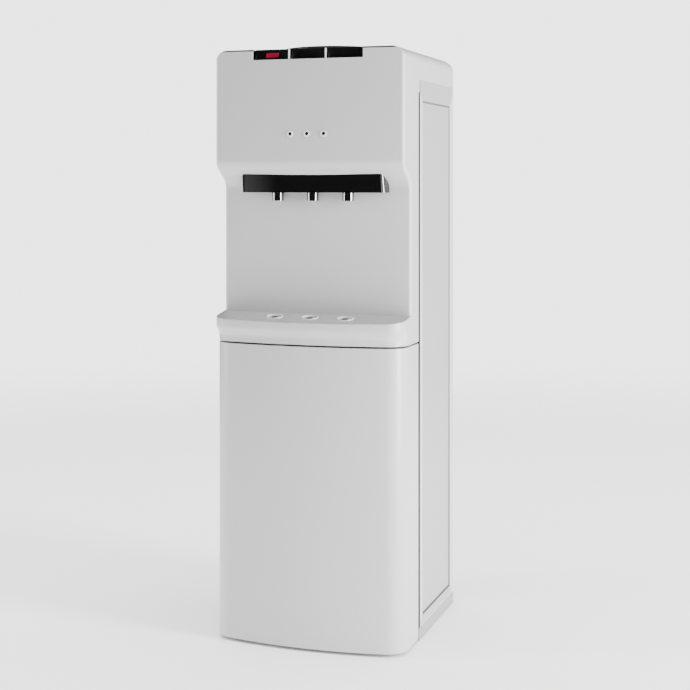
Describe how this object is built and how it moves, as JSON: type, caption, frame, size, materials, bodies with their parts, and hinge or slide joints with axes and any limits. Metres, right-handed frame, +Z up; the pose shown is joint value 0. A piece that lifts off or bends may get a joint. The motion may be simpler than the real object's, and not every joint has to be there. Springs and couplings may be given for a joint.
{
  "type": "water cooler",
  "caption": "Free-standing bottled water cooler with push keys, spouts over a dispensing recess, lift-out drip tray and a storage cabinet door.",
  "frame": {"origin": "on the floor under the middle of the cabinet's box", "axes": "+Z up, the taps face -Y, +X towards the side panel at the picture's right"},
  "size_m": [0.32, 0.34, 0.961],
  "materials": {
    "white_plastic": "satin moulded",
    "white_steel": "powder coat",
    "charcoal_plastic": "fine texture",
    "black_plastic": "gloss",
    "red_plastic": "gloss",
    "chrome": "polished",
    "lamp_lens": "clear dark",
    "bare_steel": "brushed",
    "grey_steel": "galvanised",
    "black_steel": "black paint",
    "rubber": "matt",
    "pale_plastic": "matt",
    "circuit_board": "solder mask",
    "dark_plastic": "matt"
  },
  "bodies": {
    "cabinet": {"back_panel": "grey_steel", "back_screws": "bare_steel", "base_pan": "white_steel", "bottle_probe": "pale_plastic", "bottle_seat": "charcoal_plastic", "bottle_well": "charcoal_plastic", "cabinet_liner": "pale_plastic", "cold_tank": "bare_steel", "compressor": "black_steel", "compressor_mounts": "rubber", "condenser_clips": "black_steel", "condenser_tube": "black_steel", "condenser_wires": "black_steel", "cord_gland": "rubber", "door_magnet": "rubber", "drain_cap": "dark_plastic", "drain_outlet": "dark_plastic", "feed_pipe": "bare_steel", "front_moulding": "white_plastic", "hot_tank": "bare_steel", "hot_tank_stand": "bare_steel", "indicator_board": "circuit_board", "indicator_lamps": "lamp_lens", "key_carrier": "dark_plastic", "key_shaft": "bare_steel", "levelling_feet": "rubber", "lower_hinge": "bare_steel", "magnet_bracket": "bare_steel", "seam_gasket_left": "rubber", "seam_gasket_right": "rubber", "side_panel_left": "white_steel", "side_panel_right": "white_steel", "spout_cold": "chrome", "spout_hot": "chrome", "spout_normal": "chrome", "supply_pipes": "pale_plastic", "switch_plate": "dark_plastic", "tank_deck": "bare_steel", "tank_insulation": "pale_plastic", "tank_legs": "bare_steel", "top_frame": "white_plastic", "top_lid": "charcoal_plastic", "upper_hinge": "bare_steel", "valve_housing": "black_plastic"},
    "door": {"door_skin": "white_plastic", "door_panel": "pale_plastic", "door_strike": "bare_steel"},
    "key_hot": {"key_hot": "black_plastic"},
    "key_normal": {"key_normal": "black_plastic"},
    "key_cold": {"key_cold": "black_plastic"},
    "lock": {"lock_slide": "red_plastic"},
    "tray": {"drip_tray": "white_plastic", "drip_pan": "pale_plastic"},
    "rocker_heat": {"rocker_heat": "dark_plastic"},
    "rocker_cool": {"rocker_cool": "dark_plastic"}
  },
  "joints": [
    {"name": "door_hinge", "type": "hinge", "parent": "cabinet", "child": "door", "pos_m": [0.15, -0.08, 0.24], "axis": [0, 0, 1], "range_deg": [0, 100]},
    {"name": "hot_key_press", "type": "hinge", "parent": "cabinet", "child": "key_hot", "pos_m": [-0.062, -0.1009, 0.936], "axis": [1, 0, 0], "range_deg": [0, 7], "stiffness_Nm_per_rad": 0.5, "springref_deg": -11.46},
    {"name": "normal_key_press", "type": "hinge", "parent": "cabinet", "child": "key_normal", "pos_m": [0, -0.1009, 0.936], "axis": [1, 0, 0], "range_deg": [0, 7], "stiffness_Nm_per_rad": 0.5, "springref_deg": -11.46},
    {"name": "cold_key_press", "type": "hinge", "parent": "cabinet", "child": "key_cold", "pos_m": [0.062, -0.1009, 0.936], "axis": [1, 0, 0], "range_deg": [0, 7], "stiffness_Nm_per_rad": 0.5, "springref_deg": -11.46},
    {"name": "hot_lock_slide", "type": "slide", "parent": "key_hot", "child": "lock", "axis": [1, 0, 0], "range_m": [0, 0.005]},
    {"name": "drip_tray_lift", "type": "slide", "parent": "cabinet", "child": "tray", "axis": [0, 0, 1], "range_m": [0, 0.06]},
    {"name": "heat_switch", "type": "hinge", "parent": "cabinet", "child": "rocker_heat", "pos_m": [0.08815, 0.149, 0.68], "axis": [1, 0, 0], "range_deg": [-14, 0]},
    {"name": "cool_switch", "type": "hinge", "parent": "cabinet", "child": "rocker_cool", "pos_m": [0.11025, 0.149, 0.68], "axis": [1, 0, 0], "range_deg": [-14, 0]}
  ]
}
